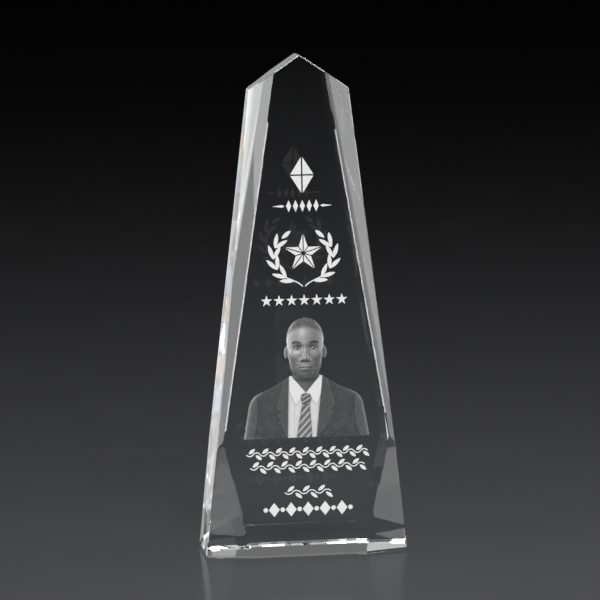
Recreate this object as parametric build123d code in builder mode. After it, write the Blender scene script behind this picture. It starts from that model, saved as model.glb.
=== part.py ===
from build123d import *
import os
from math import atan, atan2, cos, degrees, radians, sin

# Crystal award: a tall tapered block of clear crystal with a ridged top and facet-cut corners.
# The artwork is sunk into the front face and filled flush with white.
# Millimetres, +Z up, front towards -Y, origin at the middle of the underside.

os.makedirs("parts", exist_ok=True)

# --- the cut block ---
ridge_height = 254.0
shoulder_height = 236.75
base_half_width = 52.0
shoulder_half_width = 25.5
base_half_depth = 21.75
top_half_depth = 9.0

# upper corner facet: a slim sliver that starts at the shoulder and dies out at the base corner
upper_facet_on_front = 11.3
upper_facet_on_side = 5.3

# lower corner facet: a broad triangle standing on the base edge
lower_facet_on_front = 23.2
lower_facet_on_side = 6.5
lower_facet_rise = 68.5

base_arris = 1.2  # polished bevel round the underside
edge_arris = 0.4  # narrow polished bevel along every other edge

# --- the artwork: distances up the sloping front face ---
fill_depth = 0.3  # sandblasted and filled ornament
portrait_depth = 0.1  # laser-frosted portrait
emblem_height = 194.0
title_height = 178.5
wreath_height = 153.0
star_height = 154.6
star_row_height = 130.8
portrait_foot = 61.0
upper_message_height = 53.2
lower_message_height = 46.3
short_line_height = 33.2
name_band_height = 24.5

front_lean = atan((base_half_depth - top_half_depth) / ridge_height)
front_face = Plane(
    origin=(0, -base_half_depth, 0),
    x_dir=(1, 0, 0),
    z_dir=(0, -cos(front_lean), sin(front_lean)),
)


def half_width(z):
    return base_half_width + (shoulder_half_width - base_half_width) * z / shoulder_height


def half_depth(z):
    return base_half_depth + (top_half_depth - base_half_depth) * z / ridge_height


def cutting_plane(a, b, c):
    """Plane through three points, facing away from the middle of the block."""
    a, b, c = Vector(*a), Vector(*b), Vector(*c)
    normal = (b - a).cross(c - a)
    outward = a - Vector(0, 0, ridge_height / 2)
    if normal.dot(outward) < 0:
        normal = -normal
    return Plane(origin=a, x_dir=b - a, z_dir=normal)


# Ornament shapes, each drawn about its own origin and ready to be placed in a sketch.


def polygon_shape(points):
    with BuildSketch(mode=Mode.PRIVATE) as shape:
        with BuildLine():
            Polyline(*points, close=True)
        make_face()
    return shape.sketch


def leaf_shape(length, width):
    """Pointed leaf that grows along +X from its stalk."""
    with BuildSketch(mode=Mode.PRIVATE) as leaf:
        with BuildLine():
            ThreePointArc((0, 0), (0.45 * length, width / 2), (length, 0))
            ThreePointArc((length, 0), (0.45 * length, -width / 2), (0, 0))
        make_face()
    return leaf.sketch


def lozenge_shape(width, height):
    return polygon_shape([(width / 2, 0), (0, height / 2), (-width / 2, 0), (0, -height / 2)])


def star_points(radius):
    """Corners of a five-pointed star, tip up, tips and notches in turn."""
    notch_radius = radius * cos(radians(72)) / cos(radians(36))
    points = []
    for corner in range(10):
        reach = notch_radius if corner % 2 else radius
        angle = radians(90 + 36 * corner)
        points.append((reach * cos(angle), reach * sin(angle)))
    return points


def place(shape, x, y, angle=0):
    with Locations((x, y)):
        add(shape, rotation=angle)


# --- emblem: a plain upright gem of four facets ---
emblem_width = 12.2
emblem_tall = 19.2
emblem_gap = 0.8

with BuildPart() as emblem_fill:
    with BuildSketch(front_face):
        place(lozenge_shape(emblem_width, emblem_tall), 0, emblem_height)
        with Locations((0, emblem_height)):
            Rectangle(emblem_gap, emblem_tall, mode=Mode.SUBTRACT)
            Rectangle(emblem_width, emblem_gap, mode=Mode.SUBTRACT)
    extrude(amount=-fill_depth)

# --- title ornament: a row of slim lozenges between two tapered rules ---
title_lozenges = 5
title_lozenge_width = 2.6
title_lozenge_tall = 6.0
title_pitch = 3.5
title_half_length = 15.4
title_rule_thickness = 1.3

with BuildPart() as title_ornament_fill:
    with BuildSketch(front_face):
        with Locations((0, title_height)):
            with GridLocations(title_pitch, 0, title_lozenges, 1):
                add(lozenge_shape(title_lozenge_width, title_lozenge_tall))
        rule_start = title_pitch * title_lozenges / 2 + 0.3
        rule_length = title_half_length - rule_start
        rule = polygon_shape([
            (0, 0),
            (0.2 * rule_length, title_rule_thickness / 2),
            (rule_length, 0),
            (0.2 * rule_length, -title_rule_thickness / 2),
        ])
        place(rule, rule_start, title_height)
        place(rule, -rule_start, title_height, 180)
    extrude(amount=-fill_depth)

# --- laurel wreath: two sprigs of paired leaves that curve up from the bottom ---
sprig_radius_x = 15.4
sprig_radius_y = 13.0
sprig_first_angle = -55
sprig_step = 25
sprig_pairs = 4
laurel_leaf_length = 7.6
laurel_leaf_width = 2.0
laurel_leaf_spread = 24
stalk_thickness = 0.55
stalk_gap = 0.35


def laurel_sprig(side):
    """Leaves of the sprig on one side of the wreath; side is 1 for right, -1 for left."""

    def on_sprig(angle):
        x = side * sprig_radius_x * cos(radians(angle))
        return x, wreath_height + sprig_radius_y * sin(radians(angle))

    def growth(angle):
        rise = sprig_radius_y * cos(radians(angle))
        run = -side * sprig_radius_x * sin(radians(angle))
        return degrees(atan2(rise, run))

    with BuildPart() as sprig:
        with BuildSketch(front_face):
            leaf = leaf_shape(laurel_leaf_length, laurel_leaf_width)
            for pair in range(sprig_pairs):
                angle = sprig_first_angle + pair * sprig_step
                x, y = on_sprig(angle)
                along = growth(angle + 0.4 * sprig_step)
                for turn in (-laurel_leaf_spread, laurel_leaf_spread):
                    place(leaf, x, y, along + turn)
            tip_angle = sprig_first_angle + sprig_pairs * sprig_step
            x, y = on_sprig(tip_angle)
            place(leaf_shape(0.8 * laurel_leaf_length, laurel_leaf_width), x, y, growth(tip_angle))
            # lowest leaf lies along the stalk and points outwards
            x, y = on_sprig(sprig_first_angle - 17)
            place(leaf_shape(laurel_leaf_length, laurel_leaf_width), x, y, 90 - side * 88)
            with BuildLine() as stalk:
                start_x = side * (stalk_gap + stalk_thickness / 2)
                stalk_foot = (start_x, wreath_height - sprig_radius_y - 2.2)
                stalk_knee = on_sprig(sprig_first_angle - 17)
                stalk_end = on_sprig(sprig_first_angle + 4)
                ThreePointArc(
                    stalk_foot,
                    (0.5 * (stalk_foot[0] + stalk_knee[0]), 0.5 * (stalk_foot[1] + stalk_knee[1]) + 0.35),
                    stalk_knee,
                )
                Line(stalk_knee, stalk_end)
            trace(stalk.line, line_width=stalk_thickness)
        extrude(amount=-fill_depth)
    return sprig


laurel_right_fill = laurel_sprig(1)
laurel_left_fill = laurel_sprig(-1)

# --- star inside the wreath: ten facets with narrow gaps between them ---
star_radius = 11.2
star_gap = 0.55

with BuildPart() as star_fill:
    with BuildSketch(front_face):
        corners = star_points(star_radius)
        for tip in range(0, 10, 2):
            for notch in (tip - 1, tip + 1):
                with BuildSketch(mode=Mode.PRIVATE) as facet:
                    add(polygon_shape([(0, 0), corners[tip], corners[notch]]))
                    offset(amount=-star_gap / 2, kind=Kind.INTERSECTION)
                place(facet.sketch, 0, star_height)
    extrude(amount=-fill_depth)

# --- row of small stars under the wreath ---
small_stars = 7
small_star_radius = 3.0
small_star_pitch = 6.4

with BuildPart() as star_row_fill:
    with BuildSketch(front_face):
        with Locations((0, star_row_height)):
            with GridLocations(small_star_pitch, 0, small_stars, 1):
                add(polygon_shape(star_points(small_star_radius)))
    extrude(amount=-fill_depth)

# --- engraved portrait: head and shoulders in a suit, one fill for each kind of surface ---
head_top = portrait_foot + 61.0
head_half_width = 10.3
chin_height = portrait_foot + 29.6
eye_line = 0.5 * (head_top + chin_height)
# bare skin of the brow, bounded above by the hairline
brow_middle = eye_line - 3.2
brow_half_width = 0.87 * head_half_width
brow_half_height = 15.0
temple_height = eye_line + 2.0  # lower end of the hair at the sides
# bare skin of the cheeks, bounded below by the beard
cheek_height = chin_height + 13.2
cheek_half_width = 0.80 * head_half_width
cheek_half_height = 9.0
neck_half_width = 6.6
neck_top = chin_height + 8.0
ear_half_height = 3.4
ear_reach = 1.5
collar_top = portrait_foot + 31.0
collar_half_width = 8.2
collar_point_height = portrait_foot + 22.5
neck_foot = collar_point_height - 1.0
shoulder_line = portrait_foot + 21.0
shirt_foot_left = -9.6
shirt_foot_right = 5.0
jacket_half_width = 32.2
tie_top_half_width = 1.6
tie_knot_half_width = 2.9
tie_neck_half_width = 1.7
tie_foot_left = -5.2
tie_foot_right = 2.8
tie_top = collar_point_height - 0.4
tie_knot_height = collar_point_height - 2.2
tie_neck_height = collar_point_height - 5.4

with BuildSketch() as head_outline:
    for side in (-1, 1):
        with BuildLine():
            Spline(
                (0, head_top),
                (side * 0.70 * head_half_width, head_top - 4.0),
                (side * head_half_width, eye_line + 4.0),
                (side * 0.92 * head_half_width, chin_height + 11.0),
                (side * 0.62 * head_half_width, chin_height + 2.6),
                (0, chin_height),
                tangents=((side, 0), (-side, 0)),
            )
            Line((0, chin_height), (0, head_top))
        make_face()

with BuildSketch() as hair_outline:
    add(head_outline.sketch)
    with Locations((0, brow_middle)):
        Ellipse(brow_half_width, brow_half_height, mode=Mode.SUBTRACT)
    with Locations((0, chin_height)):
        Rectangle(3 * head_half_width, 2 * (temple_height - chin_height), mode=Mode.SUBTRACT)

with BuildSketch() as beard_outline:
    add(head_outline.sketch)
    with Locations((0, eye_line)):
        Rectangle(
            3 * head_half_width,
            head_top - chin_height,
            align=(Align.CENTER, Align.MIN),
            mode=Mode.SUBTRACT,
        )
    with Locations((0, cheek_height)):
        Ellipse(cheek_half_width, cheek_half_height, mode=Mode.SUBTRACT)

with BuildSketch() as shirt_outline:
    with BuildLine():
        Polyline(
            (-collar_half_width, collar_top),
            (0, collar_point_height),
            (collar_half_width, collar_top),
            (shirt_foot_right, portrait_foot),
            (shirt_foot_left, portrait_foot),
            close=True,
        )
    make_face()

with BuildSketch() as tie_outline:
    with BuildLine():
        Polyline(
            (-tie_top_half_width, tie_top),
            (tie_top_half_width, tie_top),
            (tie_knot_half_width, tie_knot_height),
            (tie_neck_half_width, tie_neck_height),
            (tie_foot_right, portrait_foot),
            (tie_foot_left, portrait_foot),
            (-tie_neck_half_width, tie_neck_height),
            (-tie_knot_half_width, tie_knot_height),
            close=True,
        )
    make_face()

# the neck runs down behind the collar, and the jacket runs in under the edge of the shirt
with BuildSketch() as neck_outline:
    with Locations((0, neck_foot)):
        Rectangle(2 * neck_half_width, neck_top - neck_foot, align=(Align.CENTER, Align.MIN))

with BuildSketch() as jacket_outline:
    for side, inner_foot in ((-1, shirt_foot_left + 1), (1, shirt_foot_right - 1)):
        foot = (inner_foot, portrait_foot)
        hem = (side * jacket_half_width, portrait_foot)
        collar = (side * (collar_half_width - 0.7), collar_top - 1.9)
        with BuildLine():
            Line(foot, collar)
            Spline(
                collar,
                (side * 18.0, shoulder_line + 4.6),
                (side * 26.6, shoulder_line + 0.2),
                (side * 29.2, shoulder_line - 5.0),
                hem,
            )
            Line(hem, foot)
        make_face()


def portrait_fill(outline, *covers):
    """Thin fill of one outline, less the outlines that lie over it."""
    with BuildPart() as fill:
        with BuildSketch(front_face):
            add(outline.sketch)
            for cover in covers:
                add(cover.sketch, mode=Mode.SUBTRACT)
        extrude(amount=-portrait_depth)
    return fill


with BuildSketch() as face_outline:
    add(head_outline.sketch)
    add(neck_outline.sketch)
    for side in (-1, 1):
        with Locations((side * (head_half_width - 0.4), eye_line - 1.6)):
            Ellipse(ear_reach, ear_half_height)

portrait_hair_fill = portrait_fill(hair_outline)
portrait_beard_fill = portrait_fill(beard_outline)
portrait_face_fill = portrait_fill(face_outline, hair_outline, beard_outline, shirt_outline)
portrait_shirt_fill = portrait_fill(shirt_outline, beard_outline, tie_outline)
portrait_tie_fill = portrait_fill(tie_outline, beard_outline)
portrait_jacket_fill = portrait_fill(jacket_outline, shirt_outline)

# --- leafy vines in place of the message lines ---
vine_stem = 0.5
vine_swing = 0.9
vine_leaf_width = 1.7
vine_leaf_turn = 38
upper_vine_length, upper_vine_waves = 62.0, 9
lower_vine_length, lower_vine_waves = 58.6, 8
short_vine_length, short_vine_waves = 23.6, 3


def vine(length, height, waves):
    """Wavy stem with a leaf on the crown of each wave."""
    half_wave = length / (2 * waves)
    leaf_length = 1.15 * half_wave
    with BuildPart() as vine_fill:
        with BuildSketch(front_face):
            with BuildLine() as stem:
                for step in range(2 * waves):
                    start_x = -length / 2 + step * half_wave
                    crown = height + vine_swing * (1 if step % 2 else -1)
                    ThreePointArc(
                        (start_x, height),
                        (start_x + half_wave / 2, crown),
                        (start_x + half_wave, height),
                    )
            trace(stem.line, line_width=vine_stem)
            for step in range(2 * waves):
                up = 1 if step % 2 else -1
                x = -length / 2 + (step + 0.35) * half_wave
                leaf = leaf_shape(leaf_length, vine_leaf_width)
                place(leaf, x, height - 0.4 * up * vine_swing, -up * vine_leaf_turn)
        extrude(amount=-fill_depth)
    return vine_fill


upper_vine_fill = vine(upper_vine_length, upper_message_height, upper_vine_waves)
lower_vine_fill = vine(lower_vine_length, lower_message_height, lower_vine_waves)
short_vine_fill = vine(short_vine_length, short_line_height, short_vine_waves)

# --- bold band: lozenges and beads ---
band_lozenges = 5
band_lozenge_width = 5.6
band_lozenge_tall = 7.2
band_pitch = 8.7
bead_radius = 1.15

with BuildPart() as name_band_fill:
    with BuildSketch(front_face):
        with Locations((0, name_band_height)):
            with GridLocations(band_pitch, 0, band_lozenges, 1):
                add(lozenge_shape(band_lozenge_width, band_lozenge_tall))
            with GridLocations(band_pitch, 0, band_lozenges + 1, 1):
                Circle(bead_radius)
    extrude(amount=-fill_depth)

fills = {
    "emblem_fill": emblem_fill,
    "title_ornament_fill": title_ornament_fill,
    "laurel_left_fill": laurel_left_fill,
    "laurel_right_fill": laurel_right_fill,
    "star_fill": star_fill,
    "star_row_fill": star_row_fill,
    "portrait_hair_fill": portrait_hair_fill,
    "portrait_face_fill": portrait_face_fill,
    "portrait_beard_fill": portrait_beard_fill,
    "portrait_shirt_fill": portrait_shirt_fill,
    "portrait_tie_fill": portrait_tie_fill,
    "portrait_jacket_fill": portrait_jacket_fill,
    "upper_vine_fill": upper_vine_fill,
    "lower_vine_fill": lower_vine_fill,
    "short_vine_fill": short_vine_fill,
    "name_band_fill": name_band_fill,
}

# --- crystal body ---
with BuildPart() as crystal_body:
    with BuildSketch(Plane.XZ):
        with BuildLine():
            Polyline(
                (-base_half_width, 0),
                (base_half_width, 0),
                (shoulder_half_width, shoulder_height),
                (0, ridge_height),
                (-shoulder_half_width, shoulder_height),
                close=True,
            )
        make_face()
    extrude(amount=base_half_depth, both=True)

    for front in (-1, 1):
        slope = cutting_plane(
            (0, front * base_half_depth, 0),
            (10, front * base_half_depth, 0),
            (0, front * top_half_depth, ridge_height),
        )
        split(bisect_by=slope, keep=Keep.BOTTOM)

    shoulder_depth = half_depth(shoulder_height)
    facet_start = shoulder_half_width - upper_facet_on_front
    facet_depth = shoulder_depth - upper_facet_on_side
    rise_half_width = half_width(lower_facet_rise)
    rise_half_depth = half_depth(lower_facet_rise)
    for side in (-1, 1):
        for front in (-1, 1):
            upper_facet = cutting_plane(
                (side * facet_start, front * shoulder_depth, shoulder_height),
                (side * shoulder_half_width, front * facet_depth, shoulder_height),
                (side * base_half_width, front * base_half_depth, 0),
            )
            split(bisect_by=upper_facet, keep=Keep.BOTTOM)
            lower_facet = cutting_plane(
                (side * (base_half_width - lower_facet_on_front), front * base_half_depth, 0),
                (side * base_half_width, front * (base_half_depth - lower_facet_on_side), 0),
                (side * rise_half_width, front * rise_half_depth, lower_facet_rise),
            )
            split(bisect_by=lower_facet, keep=Keep.BOTTOM)

    underside = crystal_body.faces().sort_by(Axis.Z)[0]
    chamfer(underside.edges(), length=base_arris)
    upper_edges = [edge for edge in crystal_body.edges() if edge.center().Z > 1.5 * base_arris]
    chamfer(upper_edges, length=edge_arris)

    for fill in fills.values():
        add(fill.part, mode=Mode.SUBTRACT)

crystal_body.part.label = "crystal_body"
export_step(crystal_body.part, "parts/crystal_body.step")

for name, fill in fills.items():
    fill.part.label = name
    export_step(fill.part, f"parts/{name}.step")
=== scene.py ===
import math

import bmesh
import bpy
import numpy as np
from mathutils import Matrix, Vector


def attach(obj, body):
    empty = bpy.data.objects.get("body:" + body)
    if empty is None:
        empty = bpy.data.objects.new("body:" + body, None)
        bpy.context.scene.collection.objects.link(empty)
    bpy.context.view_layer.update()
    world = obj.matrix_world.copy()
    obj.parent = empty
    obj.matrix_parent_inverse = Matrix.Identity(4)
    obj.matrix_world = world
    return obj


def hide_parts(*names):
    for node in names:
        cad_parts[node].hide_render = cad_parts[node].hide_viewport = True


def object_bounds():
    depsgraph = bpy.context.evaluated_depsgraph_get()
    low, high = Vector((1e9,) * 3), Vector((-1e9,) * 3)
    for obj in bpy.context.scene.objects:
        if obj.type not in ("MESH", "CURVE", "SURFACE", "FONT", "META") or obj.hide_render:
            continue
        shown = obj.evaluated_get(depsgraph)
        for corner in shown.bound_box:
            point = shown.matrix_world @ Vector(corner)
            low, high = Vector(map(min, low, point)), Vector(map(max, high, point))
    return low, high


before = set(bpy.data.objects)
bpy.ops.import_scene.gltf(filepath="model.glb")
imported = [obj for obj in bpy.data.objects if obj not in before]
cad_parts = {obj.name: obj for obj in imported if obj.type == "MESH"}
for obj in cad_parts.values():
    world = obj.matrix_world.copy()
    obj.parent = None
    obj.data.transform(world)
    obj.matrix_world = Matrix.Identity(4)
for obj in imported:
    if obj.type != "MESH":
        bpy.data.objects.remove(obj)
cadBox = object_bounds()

awardHeight = Vector(cadBox[1]).z
middle = Vector((0, 0, awardHeight / 2))
print("frame loaded, award stands", round(awardHeight, 4), "m tall")


# small helpers for node trees

def newMaterial(name):
    mat = bpy.data.materials.new(name)
    mat.use_nodes = True
    mat.node_tree.nodes.clear()
    return mat, mat.node_tree


def addNode(tree, kind, **values):
    node = tree.nodes.new("ShaderNode" + kind)
    for key, value in values.items():
        setattr(node, key, value)
    return node


def setInputs(node, **values):
    for key, value in values.items():
        node.inputs[key.replace("_", " ")].default_value = value


def addRamp(tree, span, first, last):
    ramp = addNode(tree, "ValToRGB")
    for stop, place, colour in zip(ramp.color_ramp.elements, span, (first, last)):
        stop.position = place
        stop.color = colour
    return ramp


def addSpan(tree, given, wanted):
    span = addNode(tree, "MapRange")
    setInputs(span, From_Min=given[0], From_Max=given[1], To_Min=wanted[0], To_Max=wanted[1])
    return span


# crystal block: clear glass, polished on every face

crystalLook = {
    "node": "crystal_body",
    "tint": (0.985, 0.992, 0.99, 1),
    "deepTint": (0.972, 0.985, 0.982, 1),
    "bend": 1.52,  # index of refraction
    "cloud": 38,  # soft patches per metre
    "tintSpan": (0.3, 0.7),  # of the cloud, from deep tint to tint
    "polishSpan": (0.4, 0.75),
    "polish": (0.0, 0.012),  # roughness of the best and of the least polished patches
}


def makeCrystalGlass():
    mat, tree = newMaterial("polishedCrystal")
    out = addNode(tree, "OutputMaterial")
    glass = addNode(tree, "BsdfPrincipled")
    setInputs(glass, Transmission_Weight=1, IOR=crystalLook["bend"])
    place = addNode(tree, "TexCoord")
    cloud = addNode(tree, "TexNoise")
    setInputs(cloud, Scale=crystalLook["cloud"], Detail=3, Roughness=0.55)
    tint = addRamp(tree, crystalLook["tintSpan"], crystalLook["deepTint"], crystalLook["tint"])
    polish = addSpan(tree, crystalLook["polishSpan"], crystalLook["polish"])
    tree.links.new(place.outputs["Object"], cloud.inputs["Vector"])
    tree.links.new(cloud.outputs["Fac"], tint.inputs["Fac"])
    tree.links.new(cloud.outputs["Fac"], polish.inputs["Value"])
    tree.links.new(tint.outputs["Color"], glass.inputs["Base Color"])
    tree.links.new(polish.outputs["Result"], glass.inputs["Roughness"])
    tree.links.new(glass.outputs[0], out.inputs[0])
    return mat


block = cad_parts[crystalLook["node"]]
crystalGlass = makeCrystalGlass()
for slot in block.material_slots:
    slot.material = crystalGlass
print("crystal polished")

# white engraving fills

fillLook = {
    "nodes": ["emblem_fill", "title_ornament_fill", "laurel_left_fill", "laurel_right_fill", "star_fill",
              "star_row_fill", "upper_vine_fill", "lower_vine_fill", "short_vine_fill", "name_band_fill"],
    "white": (0.9, 0.9, 0.89, 1),
    "shade": (0.74, 0.74, 0.74, 1),
    "grain": 5200,  # specks per metre
    "grainsToPatch": 12,
    "greySpan": (0.55, 0.925),  # of grain and patches added up
    "rough": 0.85,
    "pitting": (0.35, 0.00004),  # strength, and depth in metres
    "swell": 0.00003,  # the fill bites this far into the crystal, so no film of air is left
}


def makeFrostedWhite():
    mat, tree = newMaterial("frostedWhiteFill")
    out = addNode(tree, "OutputMaterial")
    paint = addNode(tree, "BsdfPrincipled")
    place = addNode(tree, "TexCoord")
    grain = addNode(tree, "TexNoise")
    setInputs(grain, Scale=fillLook["grain"], Detail=3, Roughness=0.6)
    patches = addNode(tree, "TexNoise")
    setInputs(patches, Scale=fillLook["grain"] / fillLook["grainsToPatch"], Detail=2)
    both = addNode(tree, "Math", operation="ADD")
    ramp = addRamp(tree, fillLook["greySpan"], fillLook["shade"], fillLook["white"])
    bump = addNode(tree, "Bump")
    setInputs(bump, Strength=fillLook["pitting"][0], Distance=fillLook["pitting"][1])
    setInputs(paint, Roughness=fillLook["rough"])
    for texture in (grain, patches):
        tree.links.new(place.outputs["Object"], texture.inputs["Vector"])
    tree.links.new(grain.outputs["Fac"], both.inputs[0])
    tree.links.new(patches.outputs["Fac"], both.inputs[1])
    tree.links.new(both.outputs[0], ramp.inputs["Fac"])
    tree.links.new(ramp.outputs["Color"], paint.inputs["Base Color"])
    tree.links.new(grain.outputs["Fac"], bump.inputs["Height"])
    tree.links.new(bump.outputs["Normal"], paint.inputs["Normal"])
    tree.links.new(paint.outputs[0], out.inputs[0])
    return mat


def bedFill(node, mat):
    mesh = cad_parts[node].data.copy()
    work = bmesh.new()
    work.from_mesh(mesh)
    bmesh.ops.remove_doubles(work, verts=work.verts, dist=1e-7)  # joins the flat faces at their edges
    work.normal_update()
    for point in work.verts:
        point.co += point.normal * fillLook["swell"]
    work.to_mesh(mesh)
    work.free()
    mesh.materials.clear()
    mesh.materials.append(mat)
    mesh.shade_flat()
    piece = bpy.data.objects.new(node.replace("_fill", "_white"), mesh)
    bpy.context.collection.objects.link(piece)
    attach(piece, "root")
    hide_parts(node)
    return piece


frostedWhite = makeFrostedWhite()
whitePieces = [bedFill(node, frostedWhite) for node in fillLook["nodes"]]
print("ornament filled:", len(fillLook["nodes"]), "pieces")

# portrait: head and shoulders modelled as a small relief and lit, then kept as a tone for each point
# millimetres, x across, y up from the foot of the picture, z towards the viewer

portraitLook = {
    "halfWidth": 32.6,
    "height": 61.6,
    "foot": 61.0,  # of the picture, up the front face
    "proud": 0.02,  # in front of the front face
    "step": 0.2,  # grid of tones
    "top": 61.0,  # of the head
    "chin": 29.6,
    "forehead": 4.4,  # hairline below the top of the head
    "eyeOut": 4.3,  # eyes out from the middle
    "skin": 0.52,
    "hair": 0.09,
    "beard": 0.17,
    "suit": 0.040,
    "shirt": 0.93,
    "tie": 0.10,
    "stripe": 0.42,
}


def softStep(low, high, value):
    t = np.clip((value - low) / (high - low), 0, 1)
    return t * t * (3 - 2 * t)


def blend(a, b, k):
    # union of two distances, rounded over the width k
    h = np.clip(0.5 + 0.5 * (b - a) / k, 0, 1)
    return b + (a - b) * h - k * h * (1 - h)


def carve(a, b, k):
    return -blend(-a, b, k)


def egg(p, centre, radii):
    q = (p - np.array(centre)) / np.array(radii)
    far = np.linalg.norm(q, axis=1)
    return far * (far - 1) / np.maximum(np.linalg.norm(q / np.array(radii), axis=1), 1e-6)


def rod(p, start, end, thickStart, thickEnd):
    start, end = np.array(start), np.array(end)
    along = end - start
    t = np.clip((p - start) @ along / (along @ along), 0, 1)
    return np.linalg.norm(p - start - t[:, None] * along, axis=1) - (thickStart + (thickEnd - thickStart) * t)


chin = portraitLook["chin"]
top = portraitLook["top"]
# hairline, brow, nose base and chin stand a third of the face apart
third = (top - portraitLook["forehead"] - chin) / 3
noseBase = chin + third
brow = chin + 2 * third
eyeLine = (top + chin) / 2
mouthLine = noseBase - third / 3
eyeOut = portraitLook["eyeOut"]


def headShape(p):
    m = p.copy()
    m[:, 0] = np.abs(m[:, 0])  # one half serves both sides
    skull = egg(m, (0, top - 10.9, -0.5), (9.4, 10.9, 12.0))
    face = egg(m, (0, chin + 13.2, 1.6), (8.5, 13.3, 9.2))
    d = blend(skull, face, 2.5)
    d = blend(d, egg(m, (4.6, chin + 7.6, 0.6), (2.5, 4.6, 4.4)), 2.5)  # angle of the jaw
    d = blend(d, egg(m, (0, chin + 2.4, 6.7), (3.1, 2.3, 3.0)), 2.2)  # chin
    d = blend(d, egg(m, (5.4, noseBase + 3.2, 6.5), (2.5, 2.0, 2.4)), 2.6)  # cheekbone
    d = blend(d, rod(m, (0, brow + 0.1, 9.6), (5.6, brow + 0.5, 7.6), 1.1, 0.9), 1.8)  # brow
    d = carve(d, egg(m, (eyeOut, eyeLine + 0.1, 11.2), (2.9, 1.9, 2.8)), 1.6)  # eye socket
    d = blend(d, rod(m, (0, brow - 1.0, 9.3), (0, noseBase + 2.2, 12.4), 0.85, 1.25), 1.3)  # nose bridge
    d = blend(d, egg(m, (0, noseBase + 1.5, 12.4), (1.55, 1.35, 1.6)), 0.9)  # tip
    d = blend(d, egg(m, (1.85, noseBase + 1.15, 10.8), (1.05, 1.0, 1.5)), 0.7)  # wing of the nose
    d = blend(d, egg(m, (0, mouthLine - 0.2, 8.6), (4.2, 3.0, 2.2)), 1.8)  # mound under the lips
    d = blend(d, egg(m, (1.0, mouthLine + 0.66, 10.2), (2.3, 0.55, 1.0)), 0.5)  # upper lip
    d = blend(d, egg(m, (0, mouthLine - 0.85, 10.3), (2.35, 0.85, 1.15)), 0.5)  # lower lip
    ear = egg(m, (9.55, eyeLine - 1.9, -1.2), (1.25, 3.1, 2.2))
    ear = carve(ear, egg(m, (10.0, eyeLine - 1.5, 1.0), (0.45, 1.7, 0.8)), 0.5)
    d = blend(d, ear, 1.2)
    neck = rod(m, (0, 14.0, -3.5), (0, chin + 8.0, -2.5), 7.2, 6.7)
    return blend(d, neck, 1.2)


def eyeShape(p):
    m = p.copy()
    m[:, 0] = np.abs(m[:, 0])
    return egg(m, (eyeOut, eyeLine, 7.25), (1.9, 1.9, 1.9))


def reliefOf(shape, x, y, reach, start=16.0, end=-9.0, steps=240):
    # height of a shape seen from the front, and where there is one
    height = np.full(x.shape, end)
    hit = np.zeros(x.shape, bool)
    moving = np.argwhere((np.abs(x) < reach) & (y > 13))
    p = np.column_stack([x[tuple(moving.T)], y[tuple(moving.T)], np.full(len(moving), start)])
    for _ in range(steps):
        d = shape(p)
        landed = d < 0.03
        height[tuple(moving[landed].T)] = p[landed, 2]
        hit[tuple(moving[landed].T)] = True
        keep = ~landed & (p[:, 2] > end)
        moving, p, d = moving[keep], p[keep], d[keep]
        p[:, 2] -= 0.85 * d
    return height, hit


def soften(field, radius):
    reach = max(1, int(3 * radius))
    weights = np.exp(-0.5 * (np.arange(-reach, reach + 1) / radius) ** 2)
    weights /= weights.sum()
    rows, columns = field.shape
    wide = np.pad(field, reach, mode="edge")
    wide = sum(weight * wide[i:i + rows] for i, weight in enumerate(weights))
    return sum(weight * wide[:, i:i + columns] for i, weight in enumerate(weights))


def normalsOf(height, step):
    slopeY, slopeX = np.gradient(height, step)
    length = np.sqrt(slopeX ** 2 + slopeY ** 2 + 1)
    return np.stack([-slopeX / length, -slopeY / length, 1 / length])


def insideOf(points, x, y):
    # distance into an outline, less than 0 outside it
    points = np.array(points, float)
    nearest = np.full(x.shape, 1e9)
    inside = np.zeros(x.shape, bool)
    for (ax, ay), (bx, by) in zip(points, np.roll(points, -1, axis=0)):
        t = np.clip(((x - ax) * (bx - ax) + (y - ay) * (by - ay)) / ((bx - ax) ** 2 + (by - ay) ** 2), 0, 1)
        nearest = np.minimum(nearest, np.hypot(x - ax - t * (bx - ax), y - ay - t * (by - ay)))
        crosses = (ay > y) != (by > y)
        side = (bx - ax) * (y - ay) / np.where(by == ay, 1e-9, by - ay) + ax
        inside ^= crosses & (x < side)
    return np.where(inside, nearest, -nearest)


def curveThrough(points, steps=12):
    # smooth line through a few points
    points = [np.array(p, float) for p in points]
    ends = [2 * points[0] - points[1]] + points + [2 * points[-1] - points[-2]]
    line = []
    for a, b, c, d in zip(ends, ends[1:], ends[2:], ends[3:]):
        for i in range(steps):
            t = i / steps
            line.append(0.5 * (2 * b + (c - a) * t + (2 * a - 5 * b + 4 * c - d) * t * t
                               + (3 * b - a - 3 * c + d) * t ** 3))
    return [tuple(p) for p in line] + [tuple(points[-1])]


def light(normals, towards, power=1.0):
    towards = np.array(towards, float)
    towards /= np.linalg.norm(towards)
    return power * np.clip(np.tensordot(towards, normals, 1), 0, None)


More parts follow.
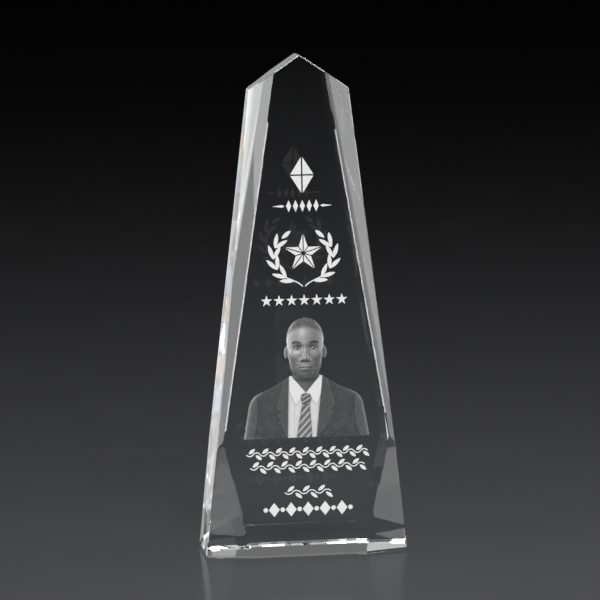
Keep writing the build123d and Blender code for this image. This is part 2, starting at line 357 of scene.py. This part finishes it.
def headTones(x, y, grain, patchy):
    # tone of the head, how far it reaches, and where its beard and hair are
    step = portraitLook["step"]
    headHeight, headHit = reliefOf(headShape, x, y, 12.6)
    eyeHeight = reliefOf(eyeShape, x, y, 7)[0]
    mx = np.abs(x)
    u = (mx - eyeOut) / 2.15
    lidTop = eyeLine + 0.95 * np.clip(1 - u ** 2, 0, 1) ** 0.75
    lidFoot = eyeLine - 0.72 * np.clip(1 - u ** 2, 0, 1)
    opened = softStep(0, 0.22, lidTop - y) * softStep(0, 0.22, y - lidFoot) * (np.abs(u) < 1)
    lids = headHeight + 0.9 * np.exp(-((u / 1.15) ** 2) * 1.6 - ((y - eyeLine - 0.1) / 1.6) ** 2)
    height = lids * (1 - opened) + np.maximum(eyeHeight, headHeight) * opened
    smooth = soften(np.where(headHit, height, -9), 1.2)
    n = normalsOf(smooth, step)
    hollow = np.clip(soften(smooth, 9) - smooth, 0, None)
    shade = np.clip(1 - 0.24 * hollow, 0.3, 1)
    key = light(n, (-0.62, 0.62, 0.80), 0.60)
    fill = light(n, (0.85, 0.10, 0.5), 0.20)
    skyLight = 0.05 + 0.07 * (0.5 + 0.5 * n[1])
    skin = portraitLook["skin"] * (1 + 0.03 * patchy + 0.02 * grain)
    tone = skin * (key ** 1.35 * 1.15 + fill + skyLight) * shade * 1.25
    half = np.array([-0.20, 0.34, 1.0])
    half /= np.linalg.norm(half)
    gloss = np.clip(np.tensordot(half, n, 1), 0, 1)
    shine = 0.13 * gloss ** 16 + 0.07 * gloss ** 60
    tone += shine * softStep(0.55, 0.85, n[2]) * softStep(chin + 3, chin + 6, y)
    # no specks of light on the steep underside of the nose and jaw
    steep = np.clip(soften(softStep(0.55, 0.25, n[2]), 1.5) * 1.6, 0, 1) * (mx < 6.5)
    tone = tone * (1 - steep) + soften(np.minimum(tone, 0.16), 2.2) * steep

    def darken(mask, to):
        nonlocal tone
        tone = tone * (1 - mask * (1 - to))

    # eyes
    eyeTone = 0.62 * (0.55 + 0.45 * softStep(0, 1.2, lidTop - y)) * (1 - 0.45 * np.abs(u) ** 2)
    fromIris = np.hypot(mx - eyeOut, y - eyeLine - 0.12)
    eyeTone = eyeTone * (1 - softStep(1.08, 0.92, fromIris)) + 0.13 * softStep(1.08, 0.92, fromIris)
    eyeTone = eyeTone * (1 - softStep(0.52, 0.40, fromIris)) + 0.02 * softStep(0.52, 0.40, fromIris)
    glint = softStep(0.36, 0.20, np.hypot(x - np.sign(x) * eyeOut + 0.34, y - eyeLine - 0.45))
    eyeTone = np.maximum(eyeTone, 0.95 * glint)
    tone = tone * (1 - opened) + eyeTone * opened
    darken(0.85 * np.exp(-((y - lidTop - 0.06) / 0.20) ** 2) * (np.abs(u) < 1.04), 0.12)  # lashes
    darken(0.35 * np.exp(-((y - lidFoot + 0.05) / 0.18) ** 2) * (np.abs(u) < 0.95), 0.3)
    crease = eyeLine + 1.75 - 0.55 * u ** 2
    darken(0.42 * np.exp(-((y - crease) / 0.26) ** 2) * softStep(1.25, 0.8, np.abs(u)), 0.25)
    # brows
    v = (mx - 1.9) / 5.3
    browLine = brow + 0.55 + 0.62 * np.sin(np.clip(v, 0, 1) * math.pi * 0.85) - 0.30 * np.clip(v, 0, 1)
    browThick = 0.66 * np.clip(np.sin(np.clip(v, 0.04, 1) * math.pi * 0.93), 0, 1) ** 0.5 + 0.02
    browMask = softStep(1.25, 0.55, np.abs(y - browLine) / browThick)
    browMask = browMask * softStep(-0.05, 0.08, v) * softStep(1.03, 0.9, v)
    darken(np.clip(browMask * (0.88 + 0.16 * grain), 0, 1), 0.13)
    # nostrils and mouth
    nostril = np.hypot((mx - 1.15) / 0.66, (y - noseBase - 0.25 - 0.12 * (mx - 1.1)) / 0.34)
    darken(softStep(1.35, 0.7, nostril), 0.10)
    lipSpan = np.hypot(x / 3.75, (y - mouthLine + 0.02) / np.where(y > mouthLine, 1.12, 1.5))
    darken(0.34 * softStep(1.12, 0.92, lipSpan), 0.25)
    mouthCurve = mouthLine + 0.30 * (x / 3.7) ** 2 - 0.10 * np.exp(-(x / 0.8) ** 2)
    darken(0.92 * np.exp(-((y - mouthCurve) / 0.19) ** 2) * softStep(4.1, 3.3, mx), 0.08)
    # cheek folds, very soft
    fold = 1.95 + (noseBase + 1.0 - y) * 0.62
    darken(0.16 * np.exp(-((mx - fold) / 0.55) ** 2) * softStep(mouthLine - 0.6, mouthLine + 1.5, y)
           * softStep(noseBase + 1.6, noseBase - 0.2, y), 0.3)
    # beard
    cheekLine = noseBase - 1.1 + 8.4 * np.clip((mx - 4.1) / 4.9, 0, 1.4) ** 1.7
    beard = softStep(0.7, -0.7, y - cheekLine)
    beard *= softStep(chin + 22, chin + 16, y)
    lipGap = np.hypot(x / 4.0, (y - mouthLine - 0.05) / np.where(y > mouthLine, 1.25, 1.75))
    beard *= softStep(0.92, 1.12, lipGap)
    under = np.hypot((mx - 3.1) / 1.5, (y - mouthLine + 2.6) / 1.1)
    beard *= 1 - 0.55 * softStep(1.3, 0.5, under)
    beard = np.clip(beard * (0.92 + 0.14 * grain + 0.06 * patchy), 0, 1) * headHit
    beard = beard * softStep(chin - 1.6, chin - 0.2, y - 0.02 * x ** 2)
    beardLight = 0.25 + soften(key, 2.5) + soften(fill, 2.5) + skyLight
    beardTone = portraitLook["beard"] * beardLight * shade * (1.25 + 0.32 * grain)
    tone = tone * (1 - 0.90 * beard) + beardTone * 0.90 * beard
    # neck lies in the shade of the chin
    underChin = softStep(chin + 1.0, chin - 0.8, y - 0.02 * x ** 2)
    darken(0.80 * underChin * (1 - 0.35 * softStep(0, 7, chin - y)), 0.25)
    # hair
    hairField = 0.60 * (y - eyeLine) - 0.40 * (headHeight - 1.0) - 3.35
    onEar = (y < eyeLine + 2.2) * (mx > 9.2)
    hair = softStep(-1.5, 0.9, hairField + 0.25 * grain) * headHit * ~onEar
    hair = hair * softStep(eyeLine - 2.5, eyeLine - 0.5, y)
    hairTone = portraitLook["hair"] * (0.35 + 1.4 * key + 1.2 * fill) * (1.15 + 0.42 * grain)
    hairTone += 0.10 * np.clip(n[1], 0, 1) ** 2
    tone = tone * (1 - hair) + hairTone * hair
    # light from behind runs round both sides
    turned = np.clip(1 - n[2], 0, 1)
    sides = softStep(0.35, 0.95, np.abs(n[0]))
    tone += ((0.80 * (x < 0) + 0.60 * (x > 0)) * turned ** 1.9 * sides * (1 - 0.35 * hair) * (1 - 0.6 * beard)
             * softStep(chin + 1, chin + 11, y))
    return tone, soften(headHit.astype(float), 0.7), beard, hair


def panel(points, x, y, soft=0.22):
    # a flat piece of cloth with a soft edge, and the distance into it
    d = insideOf(points, x, y)
    return softStep(-soft, soft, d), d


def stripes(x, y, angle, pitch, share):
    along = (x * math.cos(angle) + y * math.sin(angle)) / pitch
    wave = 0.5 + 0.5 * np.cos(2 * math.pi * along)
    return softStep(1 - share, 1 - share * 0.45, wave)


def clothTones(x, y, grain, patchy):
    # tone of the clothes, how far they reach, and where shirt and tie are
    mx = np.abs(x)
    outline = curveThrough([(8.0, 31.6), (11.0, 29.6), (18.0, 25.6), (25.4, 22.2), (28.6, 18.4), (29.9, 12.5),
                            (31.0, 6.5), (32.2, -1.0)])
    jacketEdge = outline + [(-px, py) for px, py in reversed(outline)]
    into = insideOf(jacketEdge, x, y)
    roll = np.clip(into / 11.0, 0, 1)
    bodyHeight = 7.0 * np.sqrt(np.clip(1 - (1 - roll) ** 2, 0, 1)) - 0.006 * x ** 2
    for fx, fy, tx, ty, deep, wide in ((-24.5, 20, -21.8, -1, 0.75, 0.8), (24.5, 20, 22.2, -1, 0.75, 0.8),
                                       (-19, 10, -12, 4, 0.35, 1.6), (19, 12, 11, 2, 0.35, 1.6),
                                       (-15, 24, -20, 16, 0.30, 2.0), (15, 24, 20, 15, 0.30, 2.0)):
        t = np.clip(((x - fx) * (tx - fx) + (y - fy) * (ty - fy)) / ((tx - fx) ** 2 + (ty - fy) ** 2), 0, 1)
        away = np.hypot(x - fx - t * (tx - fx), y - fy - t * (ty - fy))
        rise = np.sin(math.pi * np.clip(t * 0.9 + 0.1, 0, 1)) ** 0.5
        bodyHeight -= deep * np.exp(-(away / wide) ** 2) * rise
    clothNormals = normalsOf(soften(bodyHeight, 1.5), portraitLook["step"])
    clothKey = light(clothNormals, (-0.5, 0.6, 0.8), 0.75)
    clothFill = light(clothNormals, (0.8, 0.25, 0.55), 0.45)
    cloth = portraitLook["suit"] * (0.35 + clothKey + clothFill) * (1 + 0.16 * grain + 0.08 * patchy)
    sleeve = softStep(20, 27, mx)
    edgeLight = 0.34 * (x < 0) + 0.16 * (x > 0)
    cloth += edgeLight * np.exp(-np.clip(into, 0, None) / 0.8) * sleeve * (1 + 0.25 * grain)
    cloth += 0.10 * np.exp(-np.clip(into, 0, None) / 0.4)
    seam = 24.6 - 0.13 * (20 - y) + 0.012 * (20 - y) ** 2  # armholes
    cloth *= 1 - 0.75 * np.exp(-((mx - seam) / 0.28) ** 2) * softStep(23.5, 19, y)
    cloth += 0.035 * softStep(0.2, 1.0, mx - seam) * softStep(23.5, 19, y)  # sleeves catch more light

    # lapels, shirt, collar and tie, from the back to the front
    # the jacket closes a little to one side of the middle
    shirt, shirtIn = panel([(-8.6, 31.5), (8.6, 31.5), (4.9, -1.0), (-9.7, -1.0)], x, y)
    clothes = cloth.copy()
    for side, points in ((-1, [(-8.3, 31.2), (-11.4, 29.4), (-15.2, 15.2), (-12.3, 13.6), (-14.6, 12.2),
                               (-9.6, -1.0), (-9.2, -1.0)]),
                         (1, [(8.3, 31.2), (11.4, 29.4), (15.0, 15.6), (11.9, 14.0), (14.2, 12.6),
                              (5.2, -1.0), (4.6, -1.0)])):
        lapel, lapelIn = panel(points, x, y)
        lapelTone = cloth * 1.15 + 0.014 + 0.075 * np.exp(-(np.clip(lapelIn, 0, None) / 0.22) ** 2)
        clothes = clothes * (1 - lapel) + lapelTone * lapel
        innerEdge = np.interp(y, [-1, 31], [5 if side > 0 else 9.6, 8.3])
        shadow = np.exp(-np.clip(-lapelIn, 0, None) / 0.5) * (1 - lapel) * (mx > innerEdge)
        clothes *= 1 - 0.70 * shadow * (np.sign(x) == side)
    shirtTone = portraitLook["shirt"] * (0.90 + 0.02 * patchy)
    shirtTone = shirtTone * (1 - 0.45 * np.exp(-np.clip(shirtIn, 0, None) / 0.55))  # lapels shade its sides
    shirtTone = shirtTone * (1 - 0.10 * np.exp(-((x + 6.3 - 0.02 * y) / 0.35) ** 2))  # a soft crease
    tie, tieIn = panel([(-1.7, 19.0), (1.7, 19.0), (2.9, -1.0), (-5.3, -1.0)], x, y)
    knot, knotIn = panel([(-1.9, 22.4), (1.9, 22.4), (3.0, 20.4), (1.75, 16.9), (-1.75, 16.9),
                          (-3.0, 20.4)], x, y)
    shirtTone = shirtTone * (1 - 0.38 * np.exp(-np.clip(-np.maximum(tieIn, knotIn), 0, None) / 0.45))
    tieBody = portraitLook["tie"] * (1.15 + 0.08 * grain)
    bladeTone = tieBody + portraitLook["stripe"] * stripes(x, y, math.radians(-43), 2.5, 0.34)
    bladeTone = bladeTone + 0.10 * stripes(x, y, math.radians(-43), 2.5 / 3, 0.5)
    bladeTone *= 0.55 + 0.45 * softStep(0, 1.1, tieIn)
    bladeTone *= 1 - 0.6 * softStep(1.2, 0, 17.4 - y)
    knotTone = tieBody + 0.8 * portraitLook["stripe"] * stripes(x, y, math.radians(-62), 2.1, 0.34)
    knotTone *= 0.5 + 0.5 * softStep(0, 0.9, knotIn)
    shirtTone = shirtTone * (1 - tie) + bladeTone * tie
    shirtTone = shirtTone * (1 - knot) + knotTone * knot
    for side in (-1, 1):
        leaf, leafIn = panel([(side * 7.2, 32.0), (side * 0.3, 22.6), (side * 2.4, 20.4), (side * 5.4, 16.8),
                              (side * 8.5, 24.2), (side * 8.4, 31.8)], x, y)
        leafTone = 0.97 - 0.16 * np.exp(-(np.clip(leafIn, 0, None) / 0.22) ** 2)
        dropped = np.exp(-np.clip(-leafIn, 0, None) / 0.45) * (1 - leaf)
        shirtTone = shirtTone * (1 - 0.35 * dropped * (1 - knot))
        keep = leaf * (1 - softStep(-0.2, 0.2, knotIn))
        shirtTone = shirtTone * (1 - keep) + leafTone * keep
    body = clothes * (1 - shirt) + shirtTone * shirt
    bodyMask = np.maximum(softStep(-0.15, 0.15, into), shirt * (y < 31.3))
    bodyMask *= softStep(-0.05, 0.15, y)
    return body, bodyMask, shirt, np.maximum(tie, knot)


def portraitTones():
    step = portraitLook["step"]
    across = np.arange(-portraitLook["halfWidth"], portraitLook["halfWidth"] + step / 2, step)
    up = np.arange(0, portraitLook["height"] + step / 2, step)
    x, y = np.meshgrid(across, up)
    rng = np.random.default_rng(11)
    grain = soften(rng.random(x.shape), 0.8)
    grain = (grain - grain.mean()) / grain.std()
    patchy = soften(rng.random(x.shape), 4)
    patchy = (patchy - patchy.mean()) / patchy.std()
    tone, headMask, beard, hair = headTones(x, y, grain, patchy)
    body, bodyMask, shirt, tie = clothTones(x, y, grain, patchy)
    # the neck shows between the collar leaves
    opening, openingIn = panel([(-6.9, 34), (-6.6, 30.4), (0, 22.9), (6.6, 30.4), (6.9, 34)], x, y, 0.18)
    headOver = headMask * np.clip(softStep(chin - 1.0, chin + 0.6, y) + opening, 0, 1)
    headOver *= 1 - softStep(0.0, 0.6, 30.9 - y) * (1 - opening)
    tone *= 1 - 0.5 * np.exp(-np.clip(openingIn, 0, None) / 0.5) * (y < 30)
    total = np.where(bodyMask > 0, body, 0) * bodyMask * (1 - headOver) + tone * headOver
    contrast = 1.22 * total ** 1.3
    total = np.clip(total * (1 - headOver) + contrast * headOver, 0, 0.97)

    kind = np.zeros(x.shape, int)
    kind[bodyMask > 0.02] = 1  # jacket
    kind[(shirt > 0.5) & (bodyMask > 0.02)] = 2
    kind[(tie > 0.5) & (bodyMask > 0.02)] = 3
    kind[headOver > 0.5] = 4
    kind[(beard > 0.45) & (headOver > 0.5)] = 5
    kind[(hair > 0.5) & (headOver > 0.5)] = 6
    return across, up, total, kind


# one sheet to each part of the picture, just proud of the front face

portraitParts = {1: "portrait_jacket_fill", 2: "portrait_shirt_fill", 3: "portrait_tie_fill",
                 4: "portrait_face_fill", 5: "portrait_beard_fill", 6: "portrait_hair_fill"}
pictureLook = {
    "grain": 3200,  # specks per metre
    "greySpan": (0.35, 0.65),
    "shade": (0.78, 0.78, 0.78, 1),
    "white": (0.93, 0.93, 0.92, 1),
    "rough": 0.85,
}


def makePictureGrain():
    mat, tree = newMaterial("engravedPicture")
    out = addNode(tree, "OutputMaterial")
    paint = addNode(tree, "BsdfPrincipled")
    place = addNode(tree, "TexCoord")
    grain = addNode(tree, "TexNoise")
    setInputs(grain, Scale=pictureLook["grain"], Detail=2, Roughness=0.6)
    ramp = addRamp(tree, pictureLook["greySpan"], pictureLook["shade"], pictureLook["white"])
    tone = addNode(tree, "Attribute", attribute_name="tone")
    setInputs(paint, Roughness=pictureLook["rough"], Specular_IOR_Level=0)
    tree.links.new(place.outputs["Object"], grain.inputs["Vector"])
    tree.links.new(grain.outputs["Fac"], ramp.inputs["Fac"])
    tree.links.new(ramp.outputs["Color"], paint.inputs["Base Color"])
    tree.links.new(tone.outputs["Fac"], paint.inputs["Alpha"])
    tree.links.new(paint.outputs[0], out.inputs[0])
    return mat


def frontFace():
    # foot of the front face, the way up it and the way out of it, from the block's own faces
    turned = [(block.matrix_world.to_3x3() @ face.normal, face) for face in block.data.polygons]
    facing = [(normal, face) for normal, face in turned if normal.y < -0.99 and abs(normal.x) < 0.01]
    normal, face = max(facing, key=lambda pair: pair[1].area)
    point = block.matrix_world @ face.center
    slope = Vector((0, normal.z, -normal.y)).normalized()
    foot = Vector((0, point.y - slope.y / slope.z * point.z, 0))
    return foot, slope, normal


def layPicture():
    across, up, tones, kinds = portraitTones()
    foot, slope, normal = frontFace()
    mat = makePictureGrain()
    # each small square goes to the part at its first corner, or else to one at its other corners
    otherCorners = np.maximum.reduce([kinds[1:, :-1], kinds[:-1, 1:], kinds[1:, 1:]])
    owner = np.where(kinds[:-1, :-1] > 0, kinds[:-1, :-1], otherCorners)
    sheets = []
    for part, node in portraitParts.items():
        rows, columns = np.nonzero(owner == part)
        first = rows * len(across) + columns
        corners = np.stack([first, first + 1, first + len(across) + 1, first + len(across)], 1)
        used, faces = np.unique(corners, return_inverse=True)
        faces = faces.reshape(corners.shape)
        row, column = np.divmod(used, len(across))
        spots = [foot + slope * (portraitLook["foot"] + up[r]) / 1000 + Vector((across[c] / 1000, 0, 0))
                 + normal * portraitLook["proud"] / 1000 for r, c in zip(row, column)]
        mesh = bpy.data.meshes.new(node.replace("_fill", "_white"))
        mesh.from_pydata([tuple(spot) for spot in spots], [], faces.tolist())
        mesh.attributes.new("tone", "FLOAT", "POINT").data.foreach_set("value", tones[row, column])
        mesh.materials.append(mat)
        mesh.update()
        piece = bpy.data.objects.new(mesh.name, mesh)
        bpy.context.collection.objects.link(piece)
        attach(piece, "root")
        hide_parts(node)
        sheets.append(piece)
        print(" ", mesh.name, len(faces), "faces")
    return sheets


pictureSheets = layPicture()
print("portrait laid in")

# floor

floorLook = {
    "radius": 12,
    "light": (0.405, 0.410, 0.436, 1),
    "dark": (0.385, 0.390, 0.415, 1),
    "gloss": (0.12, 0.17),  # roughness
    "cloud": 9,  # patches per metre
    "span": (0.35, 0.65),  # of the cloud
    "drop": 0.0003,  # below the award, so the two never share a level
    "sides": 128,
    "bend": 1.06,  # index of refraction, low for a faint reflection
}


def layFloor():
    mesh = bpy.data.meshes.new("studioFloor")
    work = bmesh.new()
    bmesh.ops.create_circle(work, cap_ends=True, segments=floorLook["sides"], radius=floorLook["radius"])
    work.to_mesh(mesh)
    work.free()
    floor = bpy.data.objects.new("studioFloor", mesh)
    floor.location.z = -floorLook["drop"]
    bpy.context.collection.objects.link(floor)
    mat, tree = newMaterial("paleFloor")
    out = addNode(tree, "OutputMaterial")
    paint = addNode(tree, "BsdfPrincipled")
    setInputs(paint, IOR=floorLook["bend"])
    place = addNode(tree, "TexCoord")
    cloud = addNode(tree, "TexNoise")
    setInputs(cloud, Scale=floorLook["cloud"], Detail=5, Roughness=0.6)
    tint = addRamp(tree, floorLook["span"], floorLook["dark"], floorLook["light"])
    sheen = addSpan(tree, floorLook["span"], floorLook["gloss"])
    tree.links.new(place.outputs["Object"], cloud.inputs["Vector"])
    tree.links.new(cloud.outputs["Fac"], tint.inputs["Fac"])
    tree.links.new(cloud.outputs["Fac"], sheen.inputs["Value"])
    tree.links.new(tint.outputs["Color"], paint.inputs["Base Color"])
    tree.links.new(sheen.outputs["Result"], paint.inputs["Roughness"])
    tree.links.new(paint.outputs[0], out.inputs[0])
    mesh.materials.append(mat)
    return floor


ground = bpy.data.collections.new("ground")
ground.objects.link(layFloor())

# studio: soft boxes for the artwork and the floor, and cards round about that only the crystal sees

studioLook = {
    "dim": 0.0012,  # light of the empty room
    "roomTint": (1, 1, 1.04, 1),
    "bounces": 24,  # enough for light that runs round inside the block
    # side (degrees from the front, + is right), lean up, distance, width, height, brightness
    "softBoxes": {
        "keyLeft": (-42, 3, 1.5, 0.8, 0.36, 19),
        "keyRight": (44, 3, 1.5, 0.8, 0.36, 12),
        "top": (0, 80, 1.0, 0.5, 0.5, 0.3),
        "backGlow": (180, 10, 1.0, 0.8, 0.5, 4.5),
        "floorGlow": (0, 34, 1.2, 1.0, 0.3, 6.6),
    },
    "cards": {
        "glossLeft": (-43, 5.3, 1.0, 0.5, 0.36, 4.4),
        "glossRight": (60, 5, 1.0, 0.35, 0.40, 2.9),
        "glossRoof": (34, 16, 1.0, 0.2, 0.2, 2.5),
        "lineLeft": (-18, 3, 1.0, 0.16, 0.26, 14),
        "lineRight": (34, 2.5, 1.0, 0.16, 0.24, 12),
        "lineFarLeft": (-107, 4, 0.5, 0.15, 0.26, 5),
        "behindRight": (147, 0, 0.30, 0.17, 0.30, 0.2),
        "behindLeft": (-154, 0, 0.22, 0.12, 0.30, 0.12),
        "behindHigh": (170, 8.8, 1.5, 0.8, 0.28, 0.16),
        "behindCorner": (-173.5, 8, 1.46, 0.14, 0.14, 0.55),
        "edgeTall": (-148, -6, 0.142, 0.07, 0.24, 0.044),
        "edgeMiddle": (-148, -18, 0.149, 0.07, 0.16, 0.040),
        "edgeLow": (-148, -30, 0.163, 0.07, 0.09, 0.047),
        "rightWall": (100, 9, 0.14, 0.25, 0.44, 0.6),
    },
    # level cards: x, y, height, width, depth, brightness
    "lying": {
        "lyingLeft": (-0.205, -0.09, 0.002, 0.27, 0.24, 0.7),
        "lyingFrontLeft": (-0.10, -0.155, 0.002, 0.10, 0.20, 1.4),
        "lyingFrontRight": (0.15, -0.122, 0.002, 0.14, 0.155, 2.2),
        "lyingFrontRightNear": (0.0775, -0.0235, 0.002, 0.045, 0.042, 2.2),
        "lyingUnder": (0, 0, -0.00015, 0.104, 0.044, 0.45),  # between the block and the floor
        "ceiling": (0.12, 0, 1, 1.2, 0.5, 8),
        "ceilingFront": (0, -0.55, 1, 1.0, 0.55, 2.5),
    },
    # tinted strips close behind the left edge: height, how tall, colour
    "fringes": [
        (0.204, 0.007, (1, 0.25, 0.12)), (0.197, 0.007, (1, 0.75, 0.15)), (0.190, 0.008, (0.25, 1, 0.45)),
        (0.181, 0.010, (0.3, 0.55, 1)), (0.128, 0.016, (0.35, 0.6, 1)), (0.112, 0.014, (1, 0.6, 0.3)),
        (0.096, 0.016, (0.3, 0.8, 1)), (0.080, 0.012, (1, 0.5, 0.25)), (0.062, 0.014, (0.4, 0.5, 1)),
    ],
    "fringeLight": 0.035,
    "fringeWidth": 0.03,
    "fringeFoot": (-0.068, 0.118),  # x and y at floor level
    "fringeLean": 0.11,  # as the block's side leans in
    "narrowSpread": 60,  # degrees, of the cards close behind the left edge
    # cards that show as a gleam on the outer faces, and never through the block
    "gleams": ["glossLeft", "glossRight", "glossRoof", "lineLeft", "lineRight", "lineFarLeft",
               "lyingFrontLeft", "lyingFrontRight", "lyingFrontRightNear"],
}


def direction(side, lean):
    side, lean = math.radians(side), math.radians(lean)
    return Vector((math.sin(side) * math.cos(lean), -math.cos(side) * math.cos(lean), math.sin(lean)))


def makeLamp(name, width, height, brightness):
    data = bpy.data.lights.new(name, "AREA")
    data.shape = "RECTANGLE"
    data.size = width
    data.size_y = height
    data.energy = brightness * math.pi * width * height
    lamp = bpy.data.objects.new(name, data)
    lamp.visible_camera = False
    bpy.context.collection.objects.link(lamp)
    return lamp


def hangBox(name, side, lean, distance, width, height, brightness):
    box = makeLamp(name, width, height, brightness)
    toBox = direction(side, lean)
    box.location = middle + toBox * distance
    level = Vector((toBox.x, toBox.y, 0))
    box.rotation_euler = (-level).to_track_quat("-Z", "Y").to_euler()
    return box


def layCard(name, x, y, height, width, depth, brightness):
    card = makeLamp(name, width, depth, brightness)
    card.location = (x, y, height)
    card.rotation_euler = (0 if height > awardHeight else math.pi, 0, 0)
    return card


# the block is clear, so it throws no shadow of its own on the floor or on the artwork
artwork = bpy.data.collections.new("artwork")
for piece in whitePieces + pictureSheets:
    artwork.objects.link(piece)
# what a soft box lights, where it lights one thing alone
litAlone = {"keyLeft": artwork, "keyRight": artwork, "backGlow": artwork, "floorGlow": ground}
for name, values in studioLook["softBoxes"].items():
    box = hangBox(name, *values)
    box.visible_glossy = False
    box.light_linking.blocker_collection = artwork
    if name in litAlone:
        box.visible_transmission = False
        box.light_linking.receiver_collection = litAlone[name]

onlyCrystal = bpy.data.collections.new("onlyCrystal")
onlyCrystal.objects.link(block)
cards = [hangBox(name, *values) for name, values in studioLook["cards"].items()]
cards += [layCard(name, *values) for name, values in studioLook["lying"].items()]
fringeX, fringeY = studioLook["fringeFoot"]
for height, tall, colour in studioLook["fringes"]:
    card = makeLamp("fringe", studioLook["fringeWidth"], tall, studioLook["fringeLight"])
    card.data.color = colour
    card.location = (fringeX + studioLook["fringeLean"] * height, fringeY, height)
    cards.append(card)
for card in cards:
    if card.name.startswith(("edge", "fringe")):
        card.rotation_euler = (-math.pi / 2, 0, 0)  # faces straight to the front
        card.data.spread = math.radians(studioLook["narrowSpread"])
    card.visible_diffuse = False
    card.visible_transmission = card.name not in studioLook["gleams"]
    card.light_linking.receiver_collection = onlyCrystal

room = bpy.data.worlds.new("darkRoom")
room.use_nodes = True
setInputs(room.node_tree.nodes["Background"], Color=studioLook["roomTint"], Strength=studioLook["dim"])
scene = bpy.context.scene
scene.world = room
scene.view_settings.view_transform = "Standard"
scene.cycles.caustics_refractive = scene.cycles.caustics_reflective = False
scene.cycles.max_bounces = studioLook["bounces"]
scene.cycles.transmission_bounces = studioLook["bounces"]
scene.cycles.glossy_bounces = studioLook["bounces"]
print("studio lit")

# camera

cameraLook = {
    "side": -8.33,  # degrees left of the front
    "lean": 7.96,
    "roll": -0.7,
    "distance": 1.488,
    "sensor": 36,  # millimetres, as the lens
    "lens": 175.07,
    "shiftX": 0.0002,
    "shiftY": 0.0058,
    "clip": (0.01, 50),
}


def setCamera():
    toCamera = direction(cameraLook["side"], cameraLook["lean"])
    right = Vector((0, 0, 1)).cross(toCamera).normalized()
    up = toCamera.cross(right)
    roll = math.radians(cameraLook["roll"])
    acrossFrame = math.cos(roll) * right + math.sin(roll) * up
    upFrame = math.cos(roll) * up - math.sin(roll) * right
    place = middle + toCamera * cameraLook["distance"]
    data = bpy.data.cameras.new("studioCamera")
    data.sensor_width = cameraLook["sensor"]
    data.lens = cameraLook["lens"]
    data.shift_x = cameraLook["shiftX"]
    data.shift_y = cameraLook["shiftY"]
    data.clip_start, data.clip_end = cameraLook["clip"]
    camera = bpy.data.objects.new("studioCamera", data)
    axes = Matrix((acrossFrame, upFrame, toCamera)).transposed()
    camera.matrix_world = Matrix.Translation(place) @ axes.to_4x4()
    bpy.context.collection.objects.link(camera)
    scene.camera = camera


setCamera()

bpy.context.view_layer.update()
